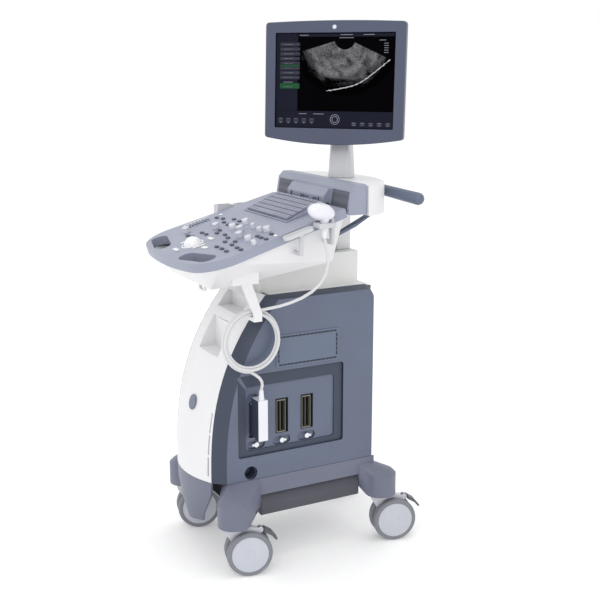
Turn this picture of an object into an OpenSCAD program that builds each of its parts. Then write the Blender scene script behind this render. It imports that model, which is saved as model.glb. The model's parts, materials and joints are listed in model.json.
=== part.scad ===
// Cart-based ultrasound scanner: wheeled base, console, turning monitor, probe with its coiled lead.
// The frame stands on the floor under the middle of the body shell: +X is the probe side,
// -Y is where the operator stands, +Z is up. All sizes are millimetres.

/* [Body shell] */
// Half width over the two side covers
body_half = 150; // [146:1:152]
// Half width of the white front cover
spine_half = 120; // [116:1:120]
// Height of the side covers' lower edge above the floor
shell_low = 247; // [245:1:249]
// Height of the side covers' upper edge
shell_high = 744; // [742:1:746]
// Rear face of the body
shell_back = 240; // [238:1:242]
// Foot of the front edge, seen from the side
front_foot = -252; // [-254:1:-250]
// Sheet thickness of the moulded covers
cover_wall = 4; // [3:0.5:4]

/* [Casters] */
// Half distance between the left and right swivel axes
track_half = 172; // [170:1:174]
// Front swivel axes
axle_front = -211; // [-213:1:-209]
// Rear swivel axes
axle_back = 249; // [247:1:251]
// Wheel diameter
wheel_d = 125; // [123:1:125]
// Distance from swivel axis to axle
trail = 38; // [36:1:40]
// How far the casters are turned at rest
caster_turn = 15; // [0:1:30]

/* [Console] */
// Slope of the control deck
deck_tilt = 15.6; // [15:0.1:16]
// Height of the deck's top face where it crosses the origin
deck_height = 942; // [940:1:944]
// Thickness of the deck moulding
deck_thick = 24; // [20:1:25]
// Diameter of the trackball
ball_d = 50; // [48:1:50]

/* [Monitor] */
// Outer width of the front bezel
monitor_w = 392; // [386:1:398]
// Outer height of the front bezel without its lower bulge
monitor_h = 308; // [304:1:312]
// Width of the visible screen
screen_w = 335; // [330:1:338]
// Height of the visible screen
screen_h = 252; // [248:1:256]
// Turn of the monitor about its column at rest
monitor_turn = 42; // [0:1:45]
// Backward lean of the monitor at rest
monitor_lean = 3; // [2:0.5:4]

/* [Probe and lead] */
// Outer diameter of the probe lead
lead_d = 8; // [7:0.5:8.5]
// Mean radius of the hanging coil
coil_r = 77; // [75:1:78]

/* [Hidden] */

$fn = 48;
gap = 0.5;           // clearance between neighbouring covers

// front edge of the shell seen from the side
front_rise = 494;
front_sweep = 164;
front_power = 2.6;
bow_low = 30;        // how far the cover's middle stands proud of its edges at the foot
bow_high = 8;        // and from above the badge upwards
bow_top = 470;
badge_z = 440;
function bow(z) = bow_low - (bow_low - bow_high) * min(1, max(0, (z - 250) / (bow_top - 250)));
function front_y(z) =
    front_foot + front_sweep * pow(max(0, (z - 250) / front_rise), front_power);

// casters
wheel_r = wheel_d / 2;
wheel_w = 21;
pedal_y = 32;        // brake pedal's pivot behind the axle
pedal_z = 122;
web_half = 10;
stem_r = 10;
fit = 0.05;          // radial clearance of every running fit
PIVOTS = [
    [track_half, axle_front], [track_half, axle_back],
    [-track_half, axle_back], [-track_half, axle_front]
];

// console
deck_back = 108;     // rear edge of the deck along its slope
ball_s = -250;       // trackball centre along the slope
ball_n = -5;         // and below the deck's face
corner_s = -232;
corner_u = 128;
corner_r = 98;
nose_half_angle = 10;
nose_r = (corner_u + corner_r * sin(nose_half_angle)) / sin(nose_half_angle);
nose_s = corner_s - corner_r * cos(nose_half_angle) + nose_r * cos(nose_half_angle);
side_back_half = 206;
grip_spot = [126, -292];
grip_turn = 15;
grip_length = 130;
grip_width = 46;
grip_lip = 5;
slider_u = -176;     // middle of the gain sliders' travel
bar_half = 208;
grille_x = 154;

// keyboard
kb_half = 130;
kb_front = -30;
kb_depth = 116;
kb_tilt = 7;         // beyond the deck's own slope
kb_rise = 2;
key_pitch = 17;
row_pitch = 19;
key_w = 14.5;
key_d = 16;
key_low = 1;         // underside of the keys above the keyboard's floor line
key_high = 5.5;
key_rows = 5;
key_cols = 14;

// lower face of the white console tray
tray_front = -245;
tray_low = 776;
tray_slope = 0.137;
tray_len = 346;
function tray_z(y) = tray_low + tray_slope * (y - tray_front);

// monitor
column_y = 213;
column_low = 1029;
hinge_y = -12;       // tilt axis in the turned monitor's frame
hinge_z = 1285;
bezel_front = -80;
bezel_depth = 20;
back_depth = 26;
bulge = 16;

// connector bay on the probe side
bay = [-185, 136, 312, 540];
PORT_Y = [-127, -50, 27];
port_half = 19;
port_low = 362;
port_high = 460;
lever_z = 342;
lever_pin = 3.5;
lever_arm = 13;
socket_hole = [-149, 267];
socket_r = 19;

// coil and lead
coil = [178, -155, 641];
bundle_r = 10;
LEAD_TOP = [
    [234, 26, 905], [235, 30, 884], [236, 35, 860], [236, 36, 835], [234, 30, 808],
    [231, 16, 785], [226, -6, 765], [219, -32, 750], [211, -60, 739], [202, -88, 731],
    [193, -114, 726], [184, -136, 722]
];
LEAD_TAIL = [
    [178, -160, 558], [182, -148, 550], [185, -138, 541], [184, -131, 530], [178, -127, 518],
    [172, -127, 504]
];
plug_top = 476;

// ---------- helpers ----------
function arc(c, r, a0, a1, n) =
    [for (i = [0:n]) let (a = a0 + (a1 - a0) * i / n) [c[0] + r * cos(a), c[1] + r * sin(a)]];

function flip(points) = [for (i = [len(points) - 1:-1:0]) [-points[i][0], points[i][1]]];

// closed solid through a list of rings with equal point counts
module skin(rings) {
    n = len(rings[0]);
    m = len(rings);
    points = [for (r = rings) for (p = r) p];
    sides = [
        for (j = [0:m - 2]) for (i = [0:n - 1])
            let (a = j * n + i, b = j * n + (i + 1) % n) each [[a, a + n, b], [b, a + n, b + n]]
    ];
    low = [for (i = [0:n - 1]) i];
    high = [for (i = [n - 1:-1:0]) (m - 1) * n + i];
    polyhedron(points, concat(sides, [low, high]));
}

function unit(v) = v / norm(v);
function along(p, i) = unit(p[min(i + 1, len(p) - 1)] - p[max(i - 1, 0)]);

// tube of ten sides swept along a route
module tube(route, r) {
    count = 10;
    side = unit(cross(along(route, 0), [0, 1, 0.2]));
    skin([
        for (i = [0:len(route) - 1])
            let (t = along(route, i), a = unit(cross(t, cross(side, t))), b = cross(t, a))
                [for (k = [0:count - 1])
                    let (w = -360 * k / count) route[i] + r * (cos(w) * a + sin(w) * b)]
    ]);
}

module block(low, high) {
    translate(low) cube(high - low);
}

module stadium(long, wide) {
    square([long - wide, wide], center = true);
    for (s = [-1, 1]) translate([s * (long - wide) / 2, 0]) circle(d = wide);
}

module rounded(w, h, r) {
    square([w - 2 * r, h], center = true);
    square([w, h - 2 * r], center = true);
    for (x = [-1, 1], y = [-1, 1]) translate([x * (w / 2 - r), y * (h / 2 - r)]) circle(r);
}

// draws a (Y, Z) outline as a slab between two X values
module side_slab(x0, x1) {
    translate([x0, 0, 0]) rotate([90, 0, 90]) linear_extrude(x1 - x0) children();
}

module on_deck() {
    translate([0, 0, deck_height]) rotate([deck_tilt, 0, 0]) children();
}

module on_keyboard() {
    on_deck() translate([0, kb_front, kb_rise]) rotate([kb_tilt, 0, 0]) children();
}

module on_column() {
    translate([0, column_y, 0]) rotate([0, 0, monitor_turn]) children();
}

module on_monitor() {
    on_column() translate([0, hinge_y, hinge_z]) rotate([-monitor_lean, 0, 0])
        translate([0, -hinge_y, -hinge_z]) children();
}

module on_caster(i) {
    translate([PIVOTS[i][0], PIVOTS[i][1], 0]) rotate([0, 0, -caster_turn]) children();
}

// ---------- base ----------
module chassis_frame() color("dimgray") {
    plate_low = 158;
    plate_high = plate_low + 6;
    difference() {
        union() {
            block([-105, -190, plate_low], [105, 214, plate_high]);
            for (p = PIVOTS) {
                front = p[1] < 0;
                translate([p[0], p[1], 152]) cylinder(r = 20, h = 48);
                block([min(p[0], sign(p[0]) * 90), front ? -227 : 205, plate_low],
                    [max(p[0], sign(p[0]) * 90), front ? -180 : 265, plate_high]);
            }
            block([-40, 178, plate_low], [40, 214, 1000]);
            block([-68, -30, 784], [68, 200, 790]);
        }
        for (p = PIVOTS) translate([p[0], p[1], 151]) cylinder(r = stem_r + fit, h = 40);
        block([-36, 182, plate_high], [36, 210, 1001]);
    }
}

module arm_cover(i) {
    p = PIVOTS[i];
    s = sign(p[0]);
    front = p[1] < 0;
    near = front ? front_foot + 34 : 192;
    far = front ? -120 : shell_back;
    high = front ? shell_low - 1 : 226;
    x0 = min(s * 122, s * body_half);
    difference() {
        hull() {
            block([x0, near, 166], [x0 + body_half - 122, far, high]);
            translate([p[0], p[1], 139]) cylinder(r = 44, h = 62, $fn = 32);
            translate([p[0], p[1], 139]) cylinder(r = 34, h = 72, $fn = 32);
        }
        translate([p[0], p[1], 138]) cylinder(r = 21, h = 63);
        block([min(0, s * 175), front ? -228 : 204, 157], [max(0, s * 175), front ? -119 : 266, 165]);
    }
}

function bumper_ring(z, half, back, bulge) = concat(
    [for (i = [-6:6]) [i / 6 * half, back - bulge * (1 - pow(i / 6, 2)), z]],
    [for (i = [6:-1:-6]) [i / 6 * half, back + 5 - bulge * (1 - pow(i / 6, 2)), z]]
);

module base_skirt() color("slategray") {
    for (i = [0:3]) arm_cover(i);
    skin([
        bumper_ring(108, 42, -246, 22), bumper_ring(135, 56, -249, 26),
        bumper_ring(170, 84, -251, 29), bumper_ring(205, 112, -252, bow_low),
        bumper_ring(shell_low - 1, 119, -252, bow_low)
    ]);
    for (s = [-1, 1])
        block([s > 0 ? 146 : -150, -139, 198], [s > 0 ? 150 : -146, shell_back, shell_low - 1]);
    block([-121, 236, 180], [121, 240, shell_low - 1]);
}

module foot_rails() color("darkslategray")
    for (s = [0, 1]) mirror([s, 0, 0])
        translate([0, 191, 0]) rotate([90, 0, 0]) linear_extrude(310)
            polygon([[112, 140], [146, 136], [150, 141], [150, 172], [136, 196], [112, 196]]);

// ---------- covers ----------
function front_ring(z, outer, inner) = concat(
    [for (i = [-8:8])
        [i / 8 * (spine_half - gap), front_y(z) + outer - bow(z) * (1 - pow(i / 8, 2)), z]],
    [for (i = [8:-1:-8])
        [i / 8 * (spine_half - gap), front_y(z) + inner - bow(z) * (1 - pow(i / 8, 2)), z]]
);

module pocket(half, low, high, wall) {
    mid = (low + high) / 2;
    block([-half - wall, front_y(mid) - 60, low - wall], [half + wall, front_y(mid) + 24 + wall, high + wall]);
}

module front_solid(outer, inner, low, high) {
    steps = 14;
    skin([for (k = [0:steps]) front_ring(low + (high - low) * k / steps, outer, inner)]);
}

// resize() leaves the size alone, and keeps the curved wall and its pockets one closed mesh
module front_cover() color("white") resize([0, 0, 0]) {
    upper = [72, 684, 728];
    lower = [62, 575, 662];
    difference() {
        union() {
            front_solid(0, cover_wall, shell_low, shell_high);
            difference() {
                union() {
                    pocket(upper[0], upper[1], upper[2], 3);
                    pocket(lower[0], lower[1], lower[2], 3);
                }
                front_solid(-120, 1.5, 520, 770);
            }
        }
        pocket(upper[0], upper[1], upper[2], 0);
        pocket(lower[0], lower[1], lower[2], 0);
        for (k = [0:2])
            block([106, -300, 264 + 60 * k], [111, -200, 318 + 60 * k]);
    }
}

function shell_profile(front, top, back, low) = concat(
    [for (k = [0:16]) let (z = low + (top - low) * k / 16) [front_y(z) + front, z]],
    arc([back - 26, top - 26], 26, 90, 0, 8),
    [[back, low]]
);

module side_shell(inset, low) {
    hull() {
        side_slab(spine_half, spine_half + 1)
            polygon(shell_profile(inset, shell_high - inset, shell_back - inset, low));
        side_slab(body_half - inset - 1, body_half - inset)
            polygon(shell_profile(32 + inset, shell_high - 9 - inset, shell_back - 8 - inset, low));
    }
}

module side_cover() {
    difference() {
        side_shell(0, shell_low);
        translate([-1, 0, 0]) side_shell(cover_wall, shell_low - 1);
        children();
    }
}

module side_cover_right() color("slategray")
    side_cover() {
        translate([100, (bay[0] + bay[1]) / 2, (bay[2] + bay[3]) / 2]) rotate([90, 0, 90])
            linear_extrude(80) rounded(bay[1] - bay[0], bay[3] - bay[2], 8);
        translate([100, socket_hole[0], socket_hole[1]]) rotate([0, 90, 0])
            cylinder(r = socket_r, h = 80);
    }

module side_cover_left() color("slategray")
    mirror([1, 0, 0]) side_cover() {
        for (k = [0:7]) block([140, -60 + 26 * k, 300], [160, -48 + 26 * k, 380]);
    }

module rear_cover() color("lightslategray")
    difference() {
        block([-spine_half + gap, shell_back - 4, shell_low], [spine_half - gap, shell_back, shell_high - 6]);
        for (k = [0:8]) block([40, 230, 420 + 10 * k], [112, 250, 425 + 10 * k]);
        block([-80, 230, 290], [-40, 250, 322]);
        block([-20, 230, 294], [6, 250, 318]);
    }

module neck_wedge(half, top, inset) {
    side_slab(-half + inset, half - inset)
        polygon([
            [front_y(shell_high) + 2 + inset, top - 2], [front_y(shell_high) + 10 + inset, top + 12],
            [-56 + inset, tray_z(-56) - gap - inset], [99 + inset, tray_z(99) - gap - inset],
            [99.5 + inset, 831 - inset], [222 - inset, 831 - inset], [222 - inset, top - 2]
        ]);
}

module neck_cover() color("whitesmoke") {
    half = 78;
    top = shell_high - 2;
    difference() {
        union() {
            block([-spine_half + gap, -70, top - 4], [spine_half - gap, shell_back - 5, top]);
            neck_wedge(half, top, 0);
        }
        neck_wedge(half, top, cover_wall);
        block([-74, -50, 700], [74, 218, top + 10]);
        block([-41, 177, 700], [41, 215, 840]);
    }
}

module blank_plates() color("lightsteelblue") {
    translate([150.1, 24, 594]) rotate([90, 0, 90]) linear_extrude(2) rounded(192, 90, 8);
    translate([0, front_y(badge_z) - bow(badge_z) - 1.4, badge_z]) rotate([74, 0, 0])
        cylinder(r = 21, h = 2);
    translate([0, front_y(618) + 23.8, 650]) rotate([90, 0, 0])
        linear_extrude(2) rounded(80, 16, 2);
}

module vent_inserts() color("black") {
    for (k = [0:2]) let (low = 262 + 60 * k, high = low + 58, back = front_y(high) + cover_wall)
        block([101, back, low], [116, back + 3, high]);
    for (s = [-1, 1]) block([s > 0 ? 38 : -50, 233, 412], [s > 0 ? 116 : -42, 235.5, 516]);
}

module cover_screws() color("silver") {
    for (y = [-150, 0, 150]) translate([-150.1, y, 275]) rotate([0, -90, 0])
        cylinder(r1 = 5, r2 = 4, h = 2);
    for (x = [-110, 110], z = [262, 500, 720]) translate([x, shell_back + 0.1, z]) rotate([-90, 0, 0])
        cylinder(r1 = 5, r2 = 4, h = 2);
}

// ---------- connectors ----------
module connector_panel() color("slategray") {
    y_mid = (bay[0] + bay[1]) / 2;
    z_mid = (bay[2] + bay[3]) / 2;
    difference() {
        translate([130, y_mid, z_mid]) rotate([90, 0, 90])
            linear_extrude(14) rounded(bay[1] - bay[0] - 1, bay[3] - bay[2] - 1, 8);
        translate([140, -25, 417]) rotate([90, 0, 90]) linear_extrude(10) rounded(270, 178, 8);
        for (y = PORT_Y) {
            block([120, y - port_half, port_low], [160, y + port_half, port_high]);
            translate([134, y - 2, lever_z]) rotate([90, 0, 90]) linear_extrude(12) stadium(54, 24);
            translate([120, y - 2, lever_z]) rotate([0, 90, 0]) cylinder(r = lever_pin + fit, h = 20);
        }
        translate([134, PORT_Y[0] - 12, 424]) rotate([90, 0, 90]) linear_extrude(12)
            rounded(34, 122, 14);
    }
    translate([104, socket_hole[0], socket_hole[1]]) rotate([0, 90, 0]) difference() {
        cylinder(r = 19.5, h = 40);
        translate([0, 0, 8]) cylinder(r = 16, h = 40);
    }
    block([130, socket_hole[0] - 11, 285], [136, socket_hole[0] + 11, 316]);
}

module port_sockets() color("darkkhaki")
    for (y = PORT_Y) difference() {
        block([104, y - 18, port_low + 1], [129.5, y + 18, port_high - 1]);
        for (d = [-14, 1]) block([112, y + d, port_low + 6], [140, y + d + 8, port_high - 6]);
    }

// the first lever stands locked, its arm on the other side
module lock_lever(i) color("silver")
    translate([0, PORT_Y[i] - 2, lever_z]) rotate([0, 90, 0]) {
        translate([0, 0, 129]) cylinder(r = lever_pin, h = 7);
        translate([0, 0, 134.4]) cylinder(r = 7, h = 11);
        translate([-3, i == 0 ? -lever_arm : 0, 142]) cube([6, lever_arm, 3]);
    }

module lock_lever_1() lock_lever(0);
module lock_lever_2() lock_lever(1);
module lock_lever_3() lock_lever(2);

// ---------- inside the body ----------
module power_supply() color("gainsboro")
    difference() {
        block([-100, -150, 164.2], [95, 150, 300]);
        for (k = [0:6]) block([-80 + 24 * k, -140, 290], [-68 + 24 * k, 140, 310]);
    }

module card_cage() color("silver") {
    difference() {
        block([-100, -120, 300.2], [95, 150, 560]);
        block([-94, -130, 316], [89, 160, 554]);
    }
    for (k = [0:6]) block([-84 + 26 * k, -110, 316], [-82 + 26 * k, 140, 554]);
    difference() {
        block([46, 196, 420], [126 - 12, 232, 508]);
        translate([80, 190, 464]) rotate([-90, 0, 0]) cylinder(r = 31, h = 60);
    }
    translate([80, 196, 464]) rotate([-90, 0, 0]) cylinder(r = 10, h = 8);
    block([78, 196, 430], [82, 200, 500]);
}

module fan_rotor() color("black")
    translate([80, 205, 464]) rotate([-90, 0, 0]) {
        cylinder(r = 12, h = 20);
        for (k = [0:6]) rotate([0, 0, 360 / 7 * k]) translate([10, -1.5, 3]) rotate([25, 0, 0])
            cube([18, 3, 12]);
    }

module power_inlet() color("black") {
    difference() {
        block([-79, 212, 291], [-41, 242, 321]);
        block([-74, 224, 296], [-46, 250, 316]);
    }
    for (x = [-67, -60, -53]) block([x - 1, 222, 304], [x + 1, 238, 308]);
}

module mains_switch() color("black")
    translate([-7, 236, 306]) difference() {
        rotate([0, 90, 0]) translate([0, 0, -11]) cylinder(r = 10, h = 22);
        translate([0, -8, 0]) cube([40, 12, 40], center = true);
    }

// ---------- console ----------
function console_points(inset) = let (r = corner_r - inset, h = side_back_half - inset,
    right = concat(
        arc([0, nose_s], nose_r - inset, -90, -90 + nose_half_angle, 5),
        arc([corner_u, corner_s], r, -90 + nose_half_angle, -3.3, 14),
        [[h, deck_back - inset]]))
    concat(flip(right), [for (i = [1:len(right) - 1]) right[i]]);

module console_outline(inset = 0) polygon(console_points(inset));

module grip_slot(s, wall = 0) translate([s * grip_spot[0], grip_spot[1]]) rotate([0, 0, s * grip_turn])
    stadium(grip_length + 2 * wall, grip_width + 2 * wall);

KEY_SPOTS = [
    [-89, -225], [-62, -222], [-67, -192], [-37, -192], [-10, -172], [-26, -156], [31, -167],
    [67, -175], [91, -195], [138, -197], [177, -201], [204, -203], [106, -226], [138, -226],
    [172, -229], [-156, -105], [-124, -100], [-86, -115], [-49, -120], [-78, -87], [-40, -88],
    [173, -129], [200, -128], [-104, -140], [150, -128], [-16, -108], [176, -100], [122, -180]
];
KNOB_SPOTS = [[-126, -213], [-57, -152], [53, -130], [102, -156]];
SLIDER_S = [for (k = [0:7]) -196 + 10 * k];

module deck_key(clear) stadium(17 + 2 * clear, 9 + 2 * clear);

module console_deck() color("lightsteelblue")
    on_deck() difference() {
        translate([0, 0, -deck_thick]) linear_extrude(deck_thick) console_outline();
        translate([0, 0, -deck_thick - 1]) linear_extrude(deck_thick - 4) difference() {
            console_outline(5);
            for (s = [-1, 1]) grip_slot(s, grip_lip);
        }
        for (s = [-1, 1]) translate([0, 0, -30]) linear_extrude(40) grip_slot(s);
        translate([0, ball_s, -30]) cylinder(r = ball_d / 2 + 0.4, h = 60);
        for (k = KEY_SPOTS) translate([k[0], k[1], -3.4]) linear_extrude(10) deck_key(0.4);
        for (s = SLIDER_S) translate([slider_u, s, -10]) linear_extrude(20) square([40, 3], center = true);
    }

module deck_keys() color("darkslategray")
    on_deck() for (k = KEY_SPOTS) translate([k[0], k[1], -0.8]) linear_extrude(4.6) deck_key(0);

module gain_sliders() color("silver")
    on_deck() for (s = SLIDER_S) {
        translate([slider_u - 1.2, s - 1.2, -6]) cube([2.4, 2.4, 8]);
        translate([slider_u - 4, s - 4, 1]) cube([8, 8, 7]);
    }

module knob(i) color("silver")
    on_deck() translate([KNOB_SPOTS[i][0], KNOB_SPOTS[i][1], 0.4]) {
        cylinder(r = 10, h = 14);
        translate([0, 0, 14]) cylinder(r1 = 10, r2 = 9, h = 2);
    }

module knob_1() knob(0);
module knob_2() knob(1);
module knob_3() knob(2);
module knob_4() knob(3);

module trackball() color("white")
    on_deck() translate([0, ball_s, ball_n]) sphere(d = ball_d);

module console_board() color("darkgreen")
    on_deck() difference() {
        union() {
            translate([-160, -180, -30]) cube([320, 270, 2]);
            for (k = [0:4]) translate([-130 + 56 * k, -90, -27.9]) cube([30, 30, 3]);
            translate([-36, ball_s - 36, -42]) cube([72, 72, 6]);
        }
        translate([0, ball_s, ball_n]) sphere(d = ball_d + 1);
    }

module keyboard_base() color("lightsteelblue")
    difference() {
        on_deck() side_slab(-kb_half, kb_half) polygon([
            [kb_front, 0.1], [kb_front, 3], [kb_front + kb_depth, 18], [kb_front + kb_depth, 0.1]
        ]);
        on_keyboard() translate([-kb_half + 5, 5, -1.2]) cube([2 * kb_half - 10, kb_depth - 12, 20]);
    }

module key(col, row, span = 1)
    translate([-kb_half + 11.5 + key_pitch * col, 8 + row_pitch * row, key_low])
        cube([key_pitch * (span - 1) + key_w, key_d, key_high - key_low]);

module keyboard_keys() color("lavender")
    on_keyboard() {
        for (r = [1:key_rows - 1], c = [0:key_cols - 1]) key(c, r);
        for (c = [0, 1, 2, 10, 11, 12, 13]) key(c, 0);
        key(3, 0, 7);
        // sheet that carries every key
        translate([-kb_half + 10, 7, key_low]) cube([2 * kb_half - 20, row_pitch * key_rows, 0.8]);
    }

module tray_solid(inset, raise) {
    hull() {
        on_deck() translate([0, 0, -deck_thick - 1 + raise]) linear_extrude(0.6)
            console_outline(8 + inset);
        translate([0, tray_front, tray_low + (inset > 0 ? cover_wall : 0)])
            rotate([atan(tray_slope), 0, 0])
                linear_extrude(0.6) polygon([
                    [-128 + inset, inset], [128 - inset, inset], [146 - inset, 60],
                    [150 - inset, tray_len - inset], [-150 + inset, tray_len - inset],
                    [-146 + inset, 60]
                ]);
    }
}

module console_tray() color("white")
    difference() {
        tray_solid(0, 0);
        tray_solid(cover_wall, 1.5);
        block([110, -205, 780], [172, -131, 835]);
    }

function bar_profile(inset) = [
    [112 + inset, 958 + inset], [122 + inset, 1018 - inset], [136 + inset / 2, 1032 - inset],
    [164 - inset, 1032 - inset], [170 - inset, 1024 - inset], [168 - inset, 952 + inset],
    [122 + inset, 952 + inset]
];

module speaker_bar() color("lightsteelblue") {
    difference() {
        side_slab(-bar_half, bar_half) polygon(bar_profile(0));
        side_slab(-bar_half + 4, bar_half - 4) polygon(bar_profile(4));
        for (s = [-1, 1]) block([s * grille_x - 44, 100, 964], [s * grille_x + 44, 130, 1012]);
    }
    side_slab(-104, 104)
        polygon([[96, 992], [112, 1012], [122, 1012], [115.5, 974], [96, 974]]);
}

module speakers() color("dimgray")
    for (s = [-1, 1]) {
        translate([s * grille_x, 0, 0]) side_slab(-43.5, 43.5)
            polygon([[113.6, 964.5], [121.4, 1011.5], [124.4, 1011.5], [116.6, 964.5]]);
        translate([s * grille_x, 132, 988]) rotate([-90, 0, 0]) {
            cylinder(r1 = 20, r2 = 12, h = 12);
            translate([0, 0, 12]) cylinder(r = 12, h = 10);
        }
    }

module half_oval(a, b) {
    polygon([for (t = [0:10:180]) [a * cos(t), 170.5 + b * sin(t)]]);
}

module rear_housing() color("white") {
    difference() {
        union() {
            translate([0, 0, 948]) linear_extrude(80) half_oval(215, 124);
            block([-44, 174, 831.5], [44, 218, 952]);
        }
        translate([0, 0, 952]) linear_extrude(72) intersection() {
            half_oval(211, 120);
            translate([-300, 174.5]) square([600, 200]);
        }
        block([-41, 177, 820], [41, 215, 960]);
        translate([0, column_y, 1000]) cylinder(r = 18 + fit, h = 60);
    }
    difference() {
        translate([0, column_y, 1004]) cylinder(r = 26, h = 20.5);
        translate([0, column_y, 1000]) cylinder(r = 18 + fit, h = 60);
    }
}

module rear_handles() color("slategray")
    for (s = [0, 1]) mirror([s, 0, 0]) {
        hull() {
            translate([84, 286, 1000]) sphere(r = 15, $fn = 24);
            translate([226, 318, 986]) sphere(r = 17, $fn = 24);
        }
        hull() {
            translate([150, 98, 888]) rotate([30, 0, 0]) cube([14, 8, 6]);
            translate([150, 160, 912]) rotate([30, 0, 0]) cube([14, 26, 6]);
            translate([144, 208, 936]) rotate([30, 0, 0]) cube([14, 26, 6]);
        }
    }

// ---------- holders, probe and lead ----------
module probe_holders() color("gainsboro") {
    // empty holder: an oval ring on a drooping stem
    translate([236.5, -50, 918]) rotate([deck_tilt, 0, 0]) difference() {
        linear_extrude(8) rotate([0, 0, 90]) stadium(86, 30);
        translate([0, 0, -1]) linear_extrude(10) rotate([0, 0, 90]) stadium(74, 18);
    }
    block([222, -42, 862], [229, -32, 922]);
    block([178, -42, 862], [222, -32, 870]);
    // holder under the probe's head
    difference() {
        block([217, 2, 932], [253, 50, 943.8]);
        block([223, 10, 920], [247, 42, 950]);
    }
    block([217, 50, 884], [229, 58, 952]);
    block([178, 50, 884], [217, 58, 894]);
    // open holders on the other side
    for (y = [[-70, -20], [-8, 62]]) {
        difference() {
            block([-248, y[0], 886], [-219, y[1], 940]);
            block([-244, y[0] + 4, 892], [-223, y[1] - 4, 960]);
        }
        block([-220, y[0] + 16, 886], [-186, y[1] - 16, 896]);
    }
}

module cable_hangers() color("white") {
    block([140, -205, 789], [172, -131, 835]);
    hull() {
        translate([160, -176, 784]) cube([12, 26, 5]);
        translate([194, -160, 716]) cube([10, 22, 4]);
    }
    hull() {
        translate([194, -160, 716]) cube([10, 22, 4]);
        translate([194, -160, 697]) cube([10, 22, 4]);
    }
    block([158, -161, 697], [204, -149, 707.4]);
    // loop for tidying leads, under the nose
    translate([42, -228, 768]) rotate([90, 0, 0]) linear_extrude(8) difference() {
        stadium(40, 24);
        stadium(28, 12);
    }
}

module probe() color("white") {
    hull() {
        for (y = [-20, 20]) translate([235, 26 + y, 972]) sphere(r = 14, $fn = 28);
        translate([235, 26, 944]) cylinder(r = 13, h = 2, $fn = 28);
    }
    hull() {
        translate([235, 26, 940]) cylinder(r = 11.5, h = 4, $fn = 28);
        translate([235, 26, 918]) cylinder(r = 9, h = 2, $fn = 28);
    }
    translate([235, 26, 905]) cylinder(r1 = 5, r2 = 8, h = 13);
    hull() for (y = [-18, 0, 18]) translate([235, 26 + y, 977 - y * y / 90]) sphere(r = 11.5, $fn = 28);
}

module probe_lead() color("white") {
    tube(LEAD_TOP, lead_d / 2);
    tube(LEAD_TAIL, lead_d / 2);
}

module lead_coil() color("white")
    translate(coil) rotate([0, 90, 0]) rotate_extrude($fn = 72) translate([coil_r, 0]) circle(bundle_r, $fn = 16);

module probe_plug() color("whitesmoke") {
    translate([172, PORT_Y[0], plug_top]) cylinder(r1 = 8, r2 = 5.5, h = 28);
    difference() {
        block([140.5, PORT_Y[0] - 14, 364], [182, PORT_Y[0] + 14, plug_top]);
        block([134, -150, 340], [160, -100, 368]);
    }
    block([130, PORT_Y[0] - 14, 370], [140.6, PORT_Y[0] + 14, 456]);
}

// ---------- monitor ----------
module column_post() color("silver") {
    on_column() {
        hull() {
            translate([0, 0, column_low]) linear_extrude(1) rounded(68, 50, 12);
            translate([0, 0, 1130]) linear_extrude(1) rounded(57, 42, 10);
        }
        translate([0, 0, 1131]) linear_extrude(129) rounded(57, 36, 8);
        translate([0, 0, column_low - 24]) cylinder(r = 18, h = 25);
        difference() {
            union() {
                block([-20, -17, 1260], [20, 10, 1285]);
                translate([-20, hinge_y, hinge_z]) rotate([0, 90, 0]) cylinder(r = 12, h = 40);
            }
            translate([-30, hinge_y, hinge_z]) rotate([0, 90, 0]) cylinder(r = 5 + fit, h = 60);
        }
    }
}

module monitor_outline(inset = 0) {
    w = monitor_w / 2 - inset;
    top = monitor_h / 2 - inset;
    low = -monitor_h / 2 + inset;
    r = 9;
    polygon(concat(
        [for (i = [-8:8]) [i / 8 * (w - r), low - bulge * (1 - pow(i / 8, 2))]],
        arc([w - r, low + r], r, -80, 0, 5), arc([w - r, top - r], r, 0, 90, 5),
        [for (i = [7:-1:-7]) [i / 8 * (w - r), top + 4 * (1 - pow(i / 8, 2))]],
        arc([-w + r, top - r], r, 90, 180, 5), arc([-w + r, low + r], r, 180, 260, 5)
    ));
}

// stands a front-view outline up, from depth y0 back to y1
module upright(y0, y1) {
    translate([0, y1, hinge_z + 5]) rotate([90, 0, 0]) linear_extrude(y1 - y0) children();
}

module monitor_bezel() color("slategray")
    on_monitor() difference() {
        upright(bezel_front, bezel_front + bezel_depth) monitor_outline();
        upright(bezel_front - 1, bezel_front + 6) square([screen_w, screen_h], center = true);
        upright(bezel_front + 5, bezel_front + bezel_depth + 1) square([screen_w + 14, screen_h + 14], center = true);
    }

module lcd_panel() color("black")
    on_monitor() upright(bezel_front + 6.2, bezel_front + 17)
        square([screen_w + 12, screen_h + 12], center = true);

module monitor_board() color("darkgreen")
    on_monitor() upright(bezel_front + 24, bezel_front + 26) square([220, 150], center = true);

module monitor_back() color("slategray")
    on_monitor() {
        b0 = bezel_front + bezel_depth + 0.1;
        difference() {
            hull() {
                upright(b0, b0 + 6) square([monitor_w - 6, monitor_h - 12], center = true);
                upright(b0 + 6, b0 + back_depth) square([monitor_w - 120, monitor_h - 110], center = true);
            }
            hull() {
                upright(b0 - 1, b0 + 3) square([monitor_w - 14, monitor_h - 20], center = true);
                upright(b0 + 3, b0 + back_depth - 4) square([monitor_w - 130, monitor_h - 120], center = true);
            }
        }
        for (x = [-34, 24]) block([x, b0 + back_depth - 1, hinge_z - 16], [x + 10, hinge_y + 8, hinge_z + 16]);
        translate([-34, hinge_y, hinge_z]) rotate([0, 90, 0]) cylinder(r = 5, h = 68);
    }

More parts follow.
